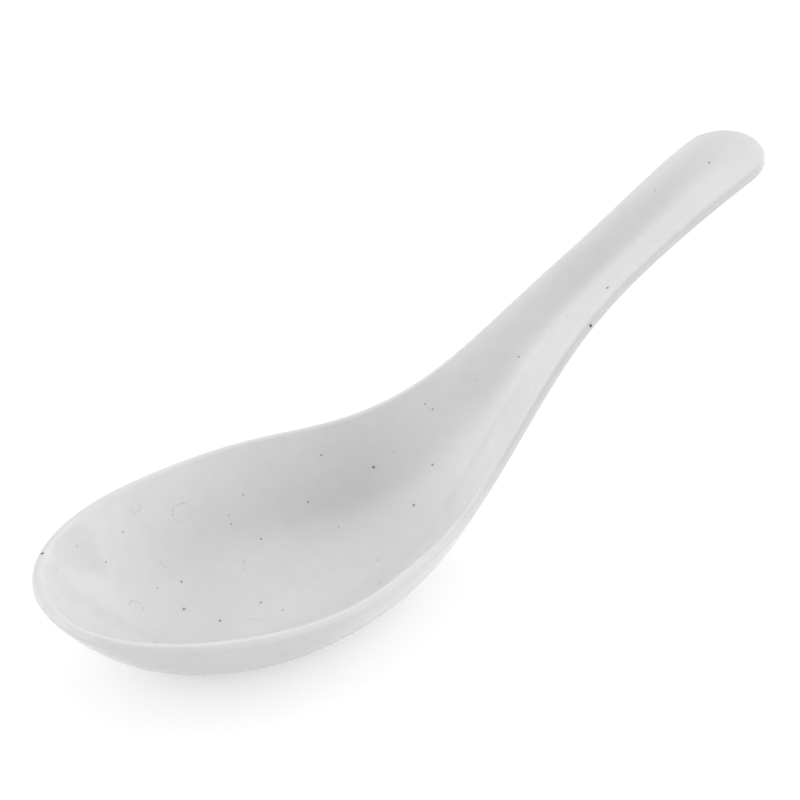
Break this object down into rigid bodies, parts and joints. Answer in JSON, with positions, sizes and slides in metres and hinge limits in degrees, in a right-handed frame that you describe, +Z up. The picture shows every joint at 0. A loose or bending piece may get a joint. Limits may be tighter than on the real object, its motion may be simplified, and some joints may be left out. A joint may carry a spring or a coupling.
{
  "type": "soup spoon",
  "caption": "Glazed ceramic soup spoon: a deep egg-shaped bowl on a flat oval foot, with a neck rising into a long handle that has a shallow channel on top.",
  "frame": {"origin": "on the flat foot, under the widest part of the bowl", "axes": "+X from the bowl to the handle, +Y across the bowl, +Z up"},
  "size_m": [0.14, 0.0478, 0.0599],
  "materials": {
    "bare_clay": "fired and unglazed, matt",
    "white_glaze": "smooth gloss with fine dark iron specks"
  },
  "bodies": {
    "root": {"clay_body": "bare_clay", "glaze_coat": "white_glaze"}
  },
  "joints": []
}
